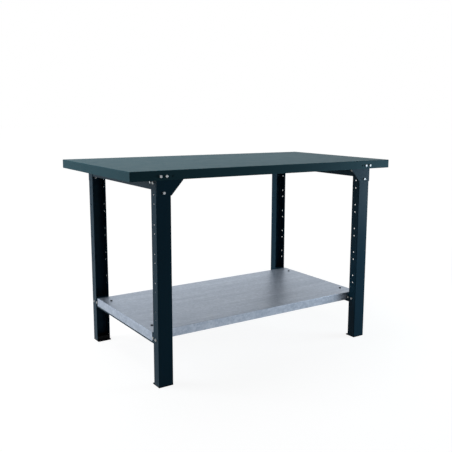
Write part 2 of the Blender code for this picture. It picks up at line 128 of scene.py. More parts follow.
# How finely curves are cut, how cut edges are eased, and how smooth shading keeps flat faces flat
BEND_STEPS = 5
CORNER_STEPS = 4
EASE_STEPS = 2
HOLE_SIDES = 24
THREAD_SIDES = 20
HEAD_SIDES = 32
CHAMFER_SIDES = 48
EDGE_ROUND = 0.00025
FLAT_ANGLE = math.radians(0.2)
CUT_ANGLE = math.radians(50)
SHARP_ANGLE = math.radians(33)
FLAT_FACE_WEIGHT = 100

# Clearance between pieces, and how far a cutting tool passes through a sheet
GAP = 0.0003
OVERRUN = 0.004

ENDS = {"left": -1, "right": 1}
FACES = {"front": -1, "back": 1}
LEVELS = ("upper", "lower")


def linear(red, green, blue):
    """A colour given in screen values of 0 to 255, in linear light."""
    def channel(value):
        share = value / 255
        return share / 12.92 if share <= 0.04045 else ((share + 0.055) / 1.055) ** 2.4

    return (channel(red), channel(green), channel(blue), 1)


# Finishes


# The range that most of a noise's values lie in
NOISE_LOW = 0.3
NOISE_HIGH = 0.7

# Cosines of a surface's own normal to its rounded one, on flat stretches and on edges that are rubbed and
# given a painted highlight, and samples of it
FLAT_COSINE = 0.995
RUBBED_AND_HIGHLIT_COSINE = 0.90
EDGE_SAMPLES = 4


class Shader:
    """A material's node tree, with short calls to add and link its nodes. Scales are features per metre."""

    def __init__(self, name):
        self.material = bpy.data.materials.new(name)
        self.material.use_nodes = True
        self.tree = self.material.node_tree
        self.surface = self.tree.nodes["Principled BSDF"]
        self.place = self.add("ShaderNodeTexCoord").outputs["Object"]

    def add(self, kind, **settings):
        node = self.tree.nodes.new(kind)
        for key, value in settings.items():
            setattr(node, key, value)
        return node

    def link(self, source, target):
        self.tree.links.new(source, target)

    def fill(self, socket, value):
        if isinstance(value, bpy.types.NodeSocket):
            self.link(value, socket)
        else:
            socket.default_value = value

    def set(self, name, value):
        self.fill(self.surface.inputs[name], value)

    def stretched(self, scale):
        node = self.add("ShaderNodeMapping")
        self.link(self.place, node.inputs["Vector"])
        node.inputs["Scale"].default_value = scale
        return node.outputs["Vector"]

    def noise(self, scale, detail, roughness=0.5, vector=None):
        node = self.add("ShaderNodeTexNoise")
        self.link(vector or self.place, node.inputs["Vector"])
        node.inputs["Scale"].default_value = scale
        node.inputs["Detail"].default_value = detail
        node.inputs["Roughness"].default_value = roughness
        return node.outputs["Fac"]

    def cells(self, scale):
        node = self.add("ShaderNodeTexVoronoi")
        self.link(self.place, node.inputs["Vector"])
        node.inputs["Scale"].default_value = scale
        return node

    def parts_of(self, colour):
        node = self.add("ShaderNodeSeparateColor")
        self.link(colour, node.inputs["Color"])
        return node.outputs

    def spread(self, value, low=NOISE_LOW, high=NOISE_HIGH, least=0.0, most=1.0):
        """A value between low and high, brought to between least and most."""
        node = self.add("ShaderNodeMapRange")
        self.fill(node.inputs["Value"], value)
        node.inputs["From Min"].default_value = low
        node.inputs["From Max"].default_value = high
        node.inputs["To Min"].default_value = least
        node.inputs["To Max"].default_value = most
        return node.outputs["Result"]

    def patches(self, scale, detail, roughness=0.5, low=NOISE_LOW, high=NOISE_HIGH, least=0.0, most=1.0):
        """A noise brought to between least and most."""
        return self.spread(self.noise(scale, detail, roughness), low, high, least, most)

    def combine(self, operation, first, second):
        node = self.add("ShaderNodeMath", operation=operation)
        self.fill(node.inputs[0], first)
        self.fill(node.inputs[1], second)
        return node.outputs["Value"]

    def sum(self, first, second):
        return self.combine("ADD", first, second)

    def product(self, first, second):
        return self.combine("MULTIPLY", first, second)

    def mix(self, share, first, second):
        node = self.add("ShaderNodeMix", data_type="RGBA")
        self.fill(node.inputs["Factor"], share)
        self.fill(node.inputs["A"], first)
        self.fill(node.inputs["B"], second)
        return node.outputs["Result"]

    def rubbed_and_highlit_edges(self, radius):
        """1 on convex edges within the radius and 0 on flat stretches."""
        rounded_off = self.add("ShaderNodeBevel", samples=EDGE_SAMPLES)
        rounded_off.inputs["Radius"].default_value = radius
        flat = self.add("ShaderNodeNewGeometry")
        dot = self.add("ShaderNodeVectorMath", operation="DOT_PRODUCT")
        self.link(rounded_off.outputs["Normal"], dot.inputs[0])
        self.link(flat.outputs["Normal"], dot.inputs[1])
        return self.spread(dot.outputs["Value"], FLAT_COSINE, RUBBED_AND_HIGHLIT_COSINE)

    def bump(self, height, distance, strength):
        node = self.add("ShaderNodeBump")
        node.inputs["Distance"].default_value = distance
        node.inputs["Strength"].default_value = strength
        self.link(height, node.inputs["Height"])
        self.link(node.outputs["Normal"], self.surface.inputs["Normal"])


def powder_coat(name, colour, lighter, worn_and_highlit, roughness, gloss):
    """Baked powder paint: orange peel, faint mottling and flecks, smears, and paler edges that are partly
    rubbed wear and partly a painted highlight.
    """
    shader = Shader(name)
    mottling = shader.patches(scale=3.0, detail=2.0, most=0.5)
    mottled = shader.mix(mottling, colour, lighter)
    flecks = shader.patches(scale=900.0, detail=2.0, low=0.56, high=0.70, most=0.35)
    flecked = shader.mix(flecks, mottled, lighter)
    wear_and_highlight_patches = shader.patches(scale=38.0, detail=4.0, roughness=0.6, low=0.42, high=0.62, least=0.15, most=0.75)
    # Convex edges are lightened in patches towards the paler colour: partly rubbed wear, partly a painted
    # highlight along the edges.
    rubbed_and_highlit = shader.product(shader.rubbed_and_highlit_edges(radius=0.0011), wear_and_highlight_patches)
    shader.set("Base Color", shader.mix(rubbed_and_highlit, flecked, worn_and_highlit))
    upright = shader.stretched((1.0, 1.0, 0.35))
    smears = shader.noise(scale=16.0, detail=4.0, roughness=0.6, vector=upright)
    shader.set("Roughness", shader.spread(smears, least=roughness - 0.02, most=roughness + 0.03))
    shader.set("Specular IOR Level", gloss)
    peel = shader.noise(scale=620.0, detail=2.0, roughness=0.55)
    waves = shader.product(shader.noise(scale=90.0, detail=1.0), 1.5)
    shader.bump(shader.sum(peel, waves), distance=0.00006, strength=0.55)
    return shader.material


def galvanised_steel(name):
    """Zinc-coated sheet: pale crystals of unlike brightness and gloss, faint streaks along it, scuffs."""
    dull = linear(142, 154, 170)
    bright = linear(174, 184, 198)
    streak = linear(122, 135, 152)
    scuff = linear(196, 202, 208)
    shader = Shader(name)
    large = shader.parts_of(shader.cells(scale=95.0).outputs["Color"])["Red"]
    small = shader.parts_of(shader.cells(scale=210.0).outputs["Color"])["Green"]
    crystals = shader.sum(large, shader.product(small, 0.5))
    share = shader.spread(crystals, low=0.1, high=1.4)
    spangle = shader.mix(share, dull, bright)
    along_roll = shader.stretched((0.06, 1.0, 1.0))
    streaks = shader.noise(scale=24.0, detail=4.0, roughness=0.6, vector=along_roll)
    streaked = shader.mix(shader.spread(streaks, low=0.35, high=0.7, most=0.35), spangle, streak)
    scuffs = shader.patches(scale=7.0, detail=6.0, roughness=0.7, low=0.58, high=0.75, most=0.30)
    shader.set("Base Color", shader.mix(scuffs, streaked, scuff))
    shader.set("Metallic", 0.82)
    unlike = shader.spread(share, low=0.0, high=1.0, least=0.36, most=0.46)
    shader.set("Roughness", shader.sum(unlike, shader.spread(streaks, least=-0.03, most=0.05)))
    shader.bump(shader.sum(share, shader.noise(scale=500.0, detail=2.0)), distance=0.00003, strength=0.45)
    return shader.material


def zinc_plate(name):
    """Zinc plate on fasteners: a fine grain, a faint warm and cool tinge, and some grime."""
    warm = linear(160, 160, 155)
    cool = linear(148, 153, 160)
    grime = linear(96, 95, 90)
    shader = Shader(name)
    tinge = shader.patches(scale=140.0, detail=2.0, low=0.35, high=0.65)
    dirt = shader.patches(scale=420.0, detail=3.0, low=0.60, high=0.78, most=0.5)
    shader.set("Base Color", shader.mix(dirt, shader.mix(tinge, warm, cool), grime))
    shader.set("Metallic", 0.95)
    shader.set("Roughness", shader.patches(scale=700.0, detail=3.0, least=0.46, most=0.60))
    shader.bump(shader.noise(scale=1800.0, detail=2.0), distance=0.00002, strength=0.4)
    return shader.material


def black_oxide(name):
    """Blackened steel with a fine grain."""
    black = linear(9, 10, 12)
    grey = linear(24, 26, 29)
    shader = Shader(name)
    tinge = shader.patches(scale=260.0, detail=3.0, low=0.35, high=0.7)
    shader.set("Base Color", shader.mix(tinge, black, grey))
    shader.set("Metallic", 0.2)
    shader.set("Specular IOR Level", 0.1)
    shader.set("Roughness", shader.patches(scale=900.0, detail=2.0, least=0.50, most=0.65))
    shader.bump(shader.noise(scale=1500.0, detail=2.0), distance=0.00002, strength=0.4)
    return shader.material


def foot_plastic(name):
    """Moulded black plastic with a fine spark-eroded grain and faint dust."""
    black = linear(8, 10, 12)
    dusty = linear(22, 24, 26)
    shader = Shader(name)
    dust = shader.patches(scale=60.0, detail=5.0, roughness=0.65, low=0.5, high=0.72, most=0.5)
    shader.set("Base Color", shader.mix(dust, black, dusty))
    shader.set("Roughness", shader.patches(scale=150.0, detail=3.0, least=0.55, most=0.72))
    shader.set("Specular IOR Level", 0.08)
    shader.bump(shader.noise(scale=1400.0, detail=2.0, roughness=0.7), distance=0.00005, strength=0.6)
    return shader.material


def chipboard(name):
    """Pressed wood flakes: small cells of light and dark wood under a fine grain."""
    brown = linear(176, 140, 98)
    pale = linear(214, 184, 142)
    bark = linear(118, 84, 54)
    shader = Shader(name)
    flakes = shader.cells(scale=260.0)
    tone = shader.parts_of(flakes.outputs["Color"])
    dark = shader.spread(tone["Green"], low=0.78, high=0.92, most=0.8)
    shader.set("Base Color", shader.mix(dark, shader.mix(tone["Red"], brown, pale), bark))
    shader.set("Roughness", shader.patches(scale=300.0, detail=3.0, least=0.75, most=0.95))
    relief = shader.sum(flakes.outputs["Distance"], shader.noise(scale=700.0, detail=3.0))
    shader.bump(relief, distance=0.0003, strength=0.6)
    return shader.material


# One finish for each of the record's slots
FINISHES = {
    "frame_paint": powder_coat(
        "frame_paint",
        colour=linear(17, 51, 67),
        lighter=linear(24, 57, 73),
        worn_and_highlit=linear(64, 90, 104),
        roughness=0.34,
        gloss=0.04,
    ),
    # The same paint as the frame, in a lighter colour: painted light that stands in for the light falling on
    # the worktop.
    "worktop_paint": powder_coat(
        "worktop_paint",
        colour=linear(42, 75, 84),
        lighter=linear(48, 81, 90),
        worn_and_highlit=linear(86, 110, 118),
        roughness=0.46,
        gloss=0.025,
    ),
    "galvanised_sheet": galvanised_steel("galvanised_sheet"),
    "zinc_fastener": zinc_plate("zinc_fastener"),
    "dark_screw": black_oxide("dark_screw"),
    "foot_black": foot_plastic("foot_black"),
    "board": chipboard("board"),
}


# Stretches and places, taken from the frame's nodes


def spans_of(node):
    """The node's low and high ends along X, Y and Z."""
    low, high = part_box(node)
    return [(low[k], high[k]) for k in range(3)]


def middle(stretch):
    return sum(stretch) / 2


def centre_of(node):
    return [middle(stretch) for stretch in spans_of(node)]


def reach(stretch):
    """The distances from the bench's middle to the nearer and the farther end of a stretch."""
    return sorted(abs(value) for value in stretch)


def span(near, far, sign):
    """The low and high ends of a stretch given by its distances from the middle, on one side of it."""
    return (near, far) if sign > 0 else (-far, -near)


def both(half):
    """A stretch that reaches as far to one side of the middle as to the other."""
    return (-half, half)


def pointed(point, direction):
    """The placement that puts the origin at a point and turns +Z to a direction."""
    turn = Vector(direction).to_track_quat("Z", "Y").to_matrix().to_4x4()
    return Matrix.Translation(point) @ turn


# Mesh helpers


def cube(xs, ys, zs):
    bm = bmesh.new()
    bmesh.ops.create_cube(bm, size=1)
    size = (xs[1] - xs[0], ys[1] - ys[0], zs[1] - zs[0])
    bmesh.ops.scale(bm, vec=size, verts=bm.verts)
    bmesh.ops.translate(bm, vec=Vector((sum(xs), sum(ys), sum(zs))) / 2, verts=bm.verts)
    return bm


def bar(start, direction, radius, length, sides=HOLE_SIDES):
    """A round bar, or a hexagon with six sides, from start along direction."""
    bm = bmesh.new()
    matrix = pointed(start, direction) @ Matrix.Translation((0, 0, length / 2))
    bmesh.ops.create_cone(
        bm, cap_ends=True, segments=sides, radius1=radius, radius2=radius, depth=length, matrix=matrix
    )
    return bm


def drill(entry, direction, length, radius=HOLE_RADIUS):
    """A round cutting tool that goes a length in from its entry, with an overrun at either end."""
    start = [place - OVERRUN * share for place, share in zip(entry, direction)]
    return bar(start, direction, radius, length + 2 * OVERRUN)


def circle(radius, height, sides):
    turns = [2 * math.pi * k / sides for k in range(sides)]
    return [(radius * math.cos(turn), radius * math.sin(turn), height) for turn in turns]


def turned(profile, sides):
    """A solid of revolution about Z from (radius, height) points that start and end on the axis."""
    bm = bmesh.new()
    rings = []
    for radius, height in profile:
        points = circle(radius, height, sides if radius else 1)
        rings.append([bm.verts.new(point) for point in points])
    for low, high in zip(rings, rings[1:]):
        for k in range(sides):
            after = (k + 1) % sides
            corners = [low[k % len(low)], low[after % len(low)]]
            corners += [high[after % len(high)], high[k % len(high)]]
            bm.faces.new(list(dict.fromkeys(corners)))
    bmesh.ops.recalc_face_normals(bm, faces=bm.faces)
    return bm


def extruded(outline, depth):
    """A flat outline in XY, given a depth along Z from zero."""
    bm = bmesh.new()
    face = bm.faces.new([bm.verts.new((x, y, 0)) for x, y in outline])
    grown = bmesh.ops.extrude_face_region(bm, geom=[face])
    moved = [v for v in grown["geom"] if isinstance(v, bmesh.types.BMVert)]
    bmesh.ops.translate(bm, vec=(0, 0, depth), verts=moved)
    bmesh.ops.recalc_face_normals(bm, faces=bm.faces)
    return bm


def arc(centre, radius, start, end):
    """Points along an arc from one angle to another."""
    angles = [start + (end - start) * k / BEND_STEPS for k in range(BEND_STEPS + 1)]
    return [(centre[0] + radius * math.cos(a), centre[1] + radius * math.sin(a)) for a in angles]


def channel_outline(width, depth, sheet, bend):
    """A U in XY: the web along X at y = 0 and the flanges towards +Y, with round bends inside and outside."""
    half = width / 2
    inner = bend - sheet
    right, down, left = 0, -math.pi / 2, -math.pi
    right_bend = (half - bend, bend)
    left_bend = (bend - half, bend)
    outside = arc(right_bend, bend, right, down) + arc(left_bend, bend, down, left)
    inside = arc(left_bend, inner, left, down) + arc(right_bend, inner, down, right)
    left_edge = [(-half, depth), (sheet - half, depth)]
    return [(half, depth)] + outside + left_edge + inside + [(half - sheet, depth)]


def round_corners(points, radius):
    """An outline with its corners as short curves."""
    result = []
    for before, corner, after in zip(points[-1:] + points[:-1], points, points[1:] + points[:1]):
        corner = Vector(corner)
        arrive = (Vector(before) - corner).normalized() * radius
        leave = (Vector(after) - corner).normalized() * radius
        for k in range(CORNER_STEPS + 1):
            share = k / CORNER_STEPS
            result.append(tuple(corner + arrive * (1 - share) ** 2 + leave * share ** 2))
    return result


def merged(parts):
    """Several meshes as one, each still a body of its own."""
    whole = bmesh.new()
    for part in parts:
        mesh = bpy.data.meshes.new("part")
        part.to_mesh(mesh)
        part.free()
        whole.from_mesh(mesh)
        bpy.data.meshes.remove(mesh)
    return whole


def as_object(bm, name):
    mesh = bpy.data.meshes.new(name)
    bm.to_mesh(mesh)
    bm.free()
    made = bpy.data.objects.new(name, mesh)
    bpy.context.scene.collection.objects.link(made)
    return made


def changed(bm, tools, operation="DIFFERENCE"):
    """The mesh after a Boolean with the tools, which are joined into one mesh first."""
    target = as_object(bm, "target")
    tool = as_object(merged(tools), "tool")
    step = target.modifiers.new("step", "BOOLEAN")
    step.operation = operation
    step.solver = "EXACT"
    step.object = tool
    bpy.context.view_layer.update()
    mesh = bpy.data.meshes.new_from_object(target.evaluated_get(bpy.context.evaluated_depsgraph_get()))
    result = bmesh.new()
    result.from_mesh(mesh)
    for old in (target, tool):
        data = old.data
        bpy.data.objects.remove(old)
        bpy.data.meshes.remove(data)
    bpy.data.meshes.remove(mesh)
    return result


def rounded(bm, width, steps, chosen):
    """The mesh with those edges rounded that chosen() picks by their middle and direction."""
    edges = []
    for edge in bm.edges:
        start, end = (vert.co for vert in edge.verts)
        if chosen((start + end) / 2, start - end):
            edges.append(edge)
    bmesh.ops.bevel(bm, geom=edges, offset=width, segments=steps, profile=0.5, affect="EDGES")
    return bm


def is_upright(at, way):
    """Whether an edge through a point stands up, for rounded()."""
    return abs(way.z) > abs(way.x) + abs(way.y)


def pan(xs, ys, zs, bend):
    """The outside of a folded pan: a block with its upright and upper edges rounded."""
    return rounded(
        cube(xs, ys, zs), bend, BEND_STEPS, lambda at, way: is_upright(at, way) or at.z > middle(zs)
    )


def softened(bm, width=EDGE_ROUND):
    """Takes the sharpness off the cut edges of a sheet."""
    bmesh.ops.dissolve_limit(bm, angle_limit=FLAT_ANGLE, verts=bm.verts, edges=bm.edges)
    sharp = [e for e in bm.edges if len(e.link_faces) == 2 and e.calc_face_angle(0) > CUT_ANGLE]
    bmesh.ops.bevel(
        bm, geom=sharp, offset=width, segments=EASE_STEPS, profile=0.5, affect="EDGES", clamp_overlap=True
    )
    return bm


def finish(piece, slot):
    """Gives a piece the finish of one of the record's slots."""
    piece.data.materials.clear()
    piece.data.materials.append(FINISHES[slot])


def add_piece(bm, name, slot):
    """Adds a fine mesh to the bench, shaded smooth between its sharp edges."""
    piece = as_object(bm, name)
    finish(piece, slot)
    piece.data.shade_smooth()
    piece.data.set_sharp_from_angle(angle=SHARP_ANGLE)
    even = piece.modifiers.new("even_normals", "WEIGHTED_NORMAL")
    even.keep_sharp = True
    even.weight = FLAT_FACE_WEIGHT
    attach(piece, "root")
    return piece


def replace_node(bm, node, slot):
    """Puts a fine mesh in the place of a CAD node."""
    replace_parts(add_piece(bm, f"{node}_fine", slot), node)


# Sheet pieces, board and feet


def tray_bolt_places(face, end):
    """Middles of the two worktop bolts of a leg and of the empty hole beside them, as (x, z)."""
    outer_x, _, outer_z = centre_of(f"tray_bolt_{face}_{end}_outer")
    inner_x, _, inner_z = centre_of(f"tray_bolt_{face}_{end}_inner")
    return [(outer_x, outer_z), (inner_x, inner_z), (2 * inner_x - outer_x, inner_z)]


def gusset_bolt_place(face, end):
    x, _, z = centre_of(f"gusset_bolt_{face}_{end}")
    return x, z


def rail_bolt_heights():
    """Heights of a leg's rail bolts, by the rail's level."""
    return {level: centre_of(f"{level}_rail_bolt_front_left")[2] for level in LEVELS}


def adjusting_heights():
    """Heights of all holes in a leg's flanges: the rail bolts' own, and the pairs between them."""
    bolts = rail_bolt_heights()
    heights = [bolts["lower"], bolts["upper"]]
    height = bolts["lower"] + HOLE_STEP
    while height < spans_of("upper_rail_left")[2][0]:
        heights += [height - HOLE_PAIR, height]
        height += HOLE_STEP
    return heights


def second_bolt_y(face, end):
    """Where the second bolt of a rail's end stands, just clear of the edge of the leg's flange."""
    edge = reach(spans_of(f"leg_{face}_{end}")[1])[0]
    return FACES[face] * (edge - HEAD_ACROSS_FLATS / 2 - SECOND_BOLT_GAP)


def make_core():
    """The board keeps its solid, with its edges eased."""
    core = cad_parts["top_core"]
    finish(core, "board")
    ease = core.modifiers.new("eased", "BEVEL")
    ease.width = 2 * EDGE_ROUND
    ease.segments = EASE_STEPS


def make_tray():
    """The worktop's folded sheet: open below between its lips, with an upstand behind either long edge."""
    xs, ys, zs = spans_of("top_tray")
    upstand_back = reach(spans_of("gusset_front_left")[1])[1] + GAP
    lip_xs = both(xs[1] - TRAY_END_LIP)
    hollow_zs = (zs[0] + TRAY_SHEET, zs[1] - TRAY_SHEET)
    hollow = cube(both(xs[1] - TRAY_SHEET), both(ys[1] - TRAY_SHEET), hollow_zs)
    mouth = cube(lip_xs, both(upstand_back), (zs[0] - OVERRUN, zs[0] + 2 * OVERRUN))
    tray = changed(pan(xs, ys, zs, TRAY_BEND), [hollow])
    tray = changed(tray, [mouth])
    for toward in FACES.values():
        upstand_ys = span(upstand_back, upstand_back + TRAY_SHEET, toward)
        upstand = cube(lip_xs, upstand_ys, (zs[0] + TRAY_SHEET / 2, hollow_zs[1] - UPSTAND_SLOT))
        tray = changed(tray, [upstand], "UNION")
    softened(tray)
    drills = []
    for face, toward in FACES.items():
        for end in ENDS:
            for x, z in tray_bolt_places(face, end):
                entry = (x, toward * upstand_back, z)
                drills.append(drill(entry, (0, toward, 0), ys[1] - upstand_back))
    replace_node(changed(tray, drills), "top_tray", "worktop_paint")


def make_shelf():
    """The shelf's folded pan, its end walls outside the lower rails and its long walls between them."""
    xs, ys, zs = spans_of("shelf")
    wall_end = reach(spans_of("lower_rail_left")[0])[0] - GAP
    under = zs[1] - SHELF_SHEET
    hollow = cube(both(xs[1] - SHELF_SHEET), both(ys[1] - SHELF_SHEET), (zs[0] + SHELF_SHEET, under))
    mouth = cube(both(wall_end + OVERRUN), both(ys[1] - SHELF_LIP), (zs[0] - OVERRUN, middle(zs)))
    shelf = changed(pan(xs, ys, zs, SHELF_BEND), [hollow])
    shelf = changed(shelf, [mouth])
    notches = []
    for side in ENDS.values():
        notch_xs = span(wall_end, xs[1] - SHELF_SHEET, side)
        notches.append(cube(notch_xs, both(ys[1] + OVERRUN), (zs[0] - OVERRUN, under)))
    shelf = softened(changed(shelf, notches))
    drills = []
    for face in FACES:
        for end in ENDS:
            x, y, _ = centre_of(f"shelf_screw_{face}_{end}")
            drills.append(drill((x, y, under), (0, 0, 1), SHELF_SHEET, SCREW_RADIUS + GAP))
    replace_node(changed(shelf, drills), "shelf", "galvanised_sheet")


def make_rail(level, end):
    """A channel that lies with its web up, from the front leg to the back leg."""
    node = f"{level}_rail_{end}"
    xs, ys, zs = spans_of(node)
    width = xs[1] - xs[0]
    rail = extruded(channel_outline(width, zs[1] - zs[0], RAIL_SHEET, RAIL_BEND), ys[1] - ys[0])
    lay = Matrix.Translation((middle(xs), ys[1], zs[1])) @ Matrix.Rotation(math.pi / 2, 4, "X")
    flip = Matrix.Diagonal((1, -1, 1, 1))
    bmesh.ops.transform(rail, matrix=lay @ flip, verts=rail.verts)
    bmesh.ops.recalc_face_normals(rail, faces=rail.faces)
    softened(rail)
    height = rail_bolt_heights()[level]
    drills = []
    for face in FACES:
        bolt_y = centre_of(f"{level}_rail_bolt_{face}_{end}")[1]
        for y in (bolt_y, second_bolt_y(face, end)):
            drills.append(drill((xs[0], y, height), (1, 0, 0), width))
        if level == "lower":
            x, y, _ = centre_of(f"shelf_screw_{face}_{end}")
            drills.append(drill((x, y, zs[1] - RAIL_SHEET), (0, 0, 1), RAIL_SHEET, SCREW_RADIUS + GAP))
    replace_node(changed(rail, drills), node, "frame_paint")


def make_leg(end, face, toward):
    """A channel with its web outwards. The flanges end at the upper rail's top, and the web goes on up."""
    node = f"leg_{face}_{end}"
    xs, ys, zs = spans_of(node)
    near, far = reach(ys)
    width = xs[1] - xs[0]
    leg = extruded(channel_outline(width, ys[1] - ys[0], LEG_SHEET, LEG_BEND), zs[1] - zs[0])
    place = Matrix.Translation((middle(xs), toward * far, zs[0]))
    turn = Matrix.Diagonal((1, -toward, 1, 1))
    bmesh.ops.transform(leg, matrix=place @ turn, verts=leg.verts)
    bmesh.ops.recalc_face_normals(leg, faces=leg.faces)
    flange_top = spans_of("upper_rail_left")[2][1]
    shoulder = cube(
        (xs[0] - OVERRUN, xs[1] + OVERRUN),
        span(near - OVERRUN, far - LEG_BEND - GAP, toward),
        (flange_top, zs[1] + OVERRUN),
    )
    leg = softened(changed(leg, [shoulder]))
    hole_y = centre_of(f"upper_rail_bolt_{face}_{end}")[1]
    drills = [drill((xs[0], hole_y, height), (1, 0, 0), width) for height in adjusting_heights()]
    for x, z in tray_bolt_places(face, end)[:2] + [gusset_bolt_place(face, end)]:
        drills.append(drill((x, toward * (far - LEG_SHEET), z), (0, toward, 0), LEG_SHEET))
    replace_node(changed(leg, drills), node, "frame_paint")


def make_gusset(end, side, face):
    """A plate on the leg's web, with a wing towards the bench's middle."""
    node = f"gusset_{face}_{end}"
    xs, ys, zs = spans_of(node)
    wing, outer = (side * value for value in reach(xs))
    inner = side * reach(spans_of(f"leg_{face}_{end}")[0])[0]
    wing_foot = spans_of("top_tray")[2][0] - GUSSET_WING_DROP
    outline = [(outer, zs[0]), (inner, zs[0]), (wing, wing_foot), (wing, zs[1]), (outer, zs[1])]
    plate = extruded(round_corners(outline, GUSSET_CORNER), ys[1] - ys[0])
    upright = Matrix.Translation((0, ys[1], 0)) @ Matrix.Rotation(math.pi / 2, 4, "X")
    bmesh.ops.transform(plate, matrix=upright, verts=plate.verts)
    softened(plate, 2 * EDGE_ROUND)
    places = tray_bolt_places(face, end) + [gusset_bolt_place(face, end)]
    drills = [drill((x, ys[0], z), (0, 1, 0), ys[1] - ys[0]) for x, z in places]
    replace_node(changed(plate, drills), node, "frame_paint")


def make_foot(end, face, toward):
    """A moulded plate with rounded corners, and a hollow plug that stands up inside the leg."""
    node = f"foot_{face}_{end}"
    xs, ys, zs = spans_of(node)
    plate = rounded(cube(xs, ys, (zs[0], FOOT_PLATE)), FOOT_CORNER, BEND_STEPS, is_upright)
    leg_xs, leg_ys, _ = spans_of(f"leg_{face}_{end}")
    plug_xs = (leg_xs[0] + LEG_SHEET + GAP, leg_xs[1] - LEG_SHEET - GAP)
    near, far = reach(leg_ys)
    plug_far = far - LEG_SHEET - GAP
    plug = cube(plug_xs, span(near, plug_far, toward), (FOOT_PLATE / 2, zs[1]))
    plug = rounded(plug, PLUG_CORNER, EASE_STEPS, is_upright)
    hollow = cube(
        (plug_xs[0] + PLUG_WALL, plug_xs[1] - PLUG_WALL),
        span(near + PLUG_WALL, plug_far - PLUG_WALL, toward),
        (FOOT_PLATE, zs[1] + OVERRUN),
    )
    foot = changed(changed(plate, [plug], "UNION"), [hollow])
    replace_node(softened(foot, 2 * EDGE_ROUND), node, "foot_black")


# Fasteners


def hex_body(low, high, chamfer_low, dish=0.0):
    """A hexagon between two heights, its corners taken off at one or both ends as on a bolt head or a nut."""
    flat = HEAD_ACROSS_FLATS / 2
    corner = flat / math.cos(math.pi / 6)
    clear = corner * CORNER_CLEAR
    drop = (corner - flat) * math.tan(HEX_CHAMFER)
    profile = [(0, low)]
    profile += [(flat * CHAMFER_START, low), (clear, low + drop)] if chamfer_low else [(clear, low)]
    profile += [(clear, high - drop), (flat * CHAMFER_START, high)]
    if dish:
        profile += [(flat * DISH_RIM, high), (flat * DISH_FLOOR, high - dish)]
    profile += [(0, high - dish)]
    hexagon = bar((0, 0, low - OVERRUN), (0, 0, 1), corner, high - low + 2 * OVERRUN, 6)
    return changed(hexagon, [turned(profile, CHAMFER_SIDES)], "INTERSECT")


def thread(low, high, radius):
    """The helical ridge of a screw thread, as a closed three-sided bead."""
    bm = bmesh.new()
    root = radius - THREAD_DEPTH - GAP
    section = ((root, -THREAD_HALF_FOOT), (radius, 0), (root, THREAD_HALF_FOOT))
    count = int((high - low - THREAD_PITCH) / THREAD_PITCH * THREAD_SIDES)
    rings = []
    for k in range(count + 1):
        angle = 2 * math.pi * k / THREAD_SIDES
        height = low + THREAD_PITCH / 2 + THREAD_PITCH * k / THREAD_SIDES
        rings.append([
            bm.verts.new((out * math.cos(angle), out * math.sin(angle), height + rise))
            for out, rise in section
        ])
    for first, second in zip(rings, rings[1:]):
        for k in range(3):
            bm.faces.new((first[k], first[(k + 1) % 3], second[(k + 1) % 3], second[k]))
    bm.faces.new(rings[0][::-1])
    bm.faces.new(rings[-1])
    bmesh.ops.recalc_face_normals(bm, faces=bm.faces)
    return bm


def bolt_mesh(length):
    """A flanged hexagon bolt along +Z, its seat at zero and its shank below, threaded at the end."""
    head = hex_body(HEXAGON_FOOT, HEAD_THICKNESS, False, HEAD_DISH)
    flat = HEAD_ACROSS_FLATS / 2
    wide = flat + FLANGE_LIP
    flange = turned([
        (0, 0),
        (wide * FLANGE_UNDERSIDE, 0),
        (wide, FLANGE_RIM / 2),
        (wide * FLANGE_SHOULDER, FLANGE_RIM),
        (flat, FLANGE_CONE_TOP),
        (0, FLANGE_CONE_TOP),
    ], HEAD_SIDES)
    core = BOLT_RADIUS - THREAD_DEPTH
    grip = -max(length - THREAD_LENGTH, 2 * GAP)
    shank = turned([
        (0, -length),
        (core - THREAD_PITCH / 2, -length),
        (core, -length + THREAD_PITCH / 2),
        (core, grip),
        (BOLT_RADIUS, grip + THREAD_DEPTH),
        (BOLT_RADIUS, SHANK_TOP),
        (0, SHANK_TOP),
    ], THREAD_SIDES)
    return merged([head, flange, shank, thread(-length + THREAD_PITCH / 2, grip, BOLT_RADIUS)])


def nut_mesh():
    """A chamfered hexagon nut from zero up."""
    hole = drill((0, 0, 0), (0, 0, 1), NUT_THICKNESS, BOLT_RADIUS + GAP)
    return changed(hex_body(0, NUT_THICKNESS, True), [hole])


def screw_mesh(head_radius, length):
    """A pan-headed screw with a hexagon socket, its seat at zero."""
    outline = [(head_radius * out, SCREW_HEAD_HEIGHT * rise) for out, rise in PAN_HEAD]
    head = turned([(0, 0)] + outline + [(0, SCREW_HEAD_HEIGHT)], HEAD_SIDES)
    floor = SCREW_HEAD_HEIGHT * SOCKET_FLOOR
    socket = bar((0, 0, floor), (0, 0, 1), SCREW_SOCKET_RADIUS, OVERRUN, 6)
    shank = turned([
        (0, -length),
        (SCREW_RADIUS * SCREW_TIP, -length),
        (SCREW_RADIUS, -length + SCREW_RADIUS * SCREW_TIP_LENGTH),
        (SCREW_RADIUS, GAP),
        (0, GAP),
    ], THREAD_SIDES)
    return merged([changed(head, [socket]), shank])


def stand(bm, point, direction, spin):
    """A copy of a mesh built along +Z, set at a point, turned to a direction and spun about it."""
    copy = bm.copy()
    matrix = pointed(point, direction) @ Matrix.Rotation(spin, 4, "Z")
    bmesh.ops.transform(copy, matrix=matrix, verts=copy.verts)
    return copy


def node_length(node, axis):
    low, high = spans_of(node)[axis]
    return high - low


def set_fastener(bm, node, direction, seat_from_far, turns, slot="zinc_fastener"):
    """Puts a fastener on its node: the seat is seat_from_far from the node's end in the given direction."""
    axis = [abs(share) for share in direction].index(1)
    way = direction[axis]
    low, high = spans_of(node)[axis]
    point = Vector(centre_of(node))
    point[axis] = (high if way > 0 else low) - way * seat_from_far
    replace_node(stand(bm, point, direction, SPIN_STEP * turns), node, slot)


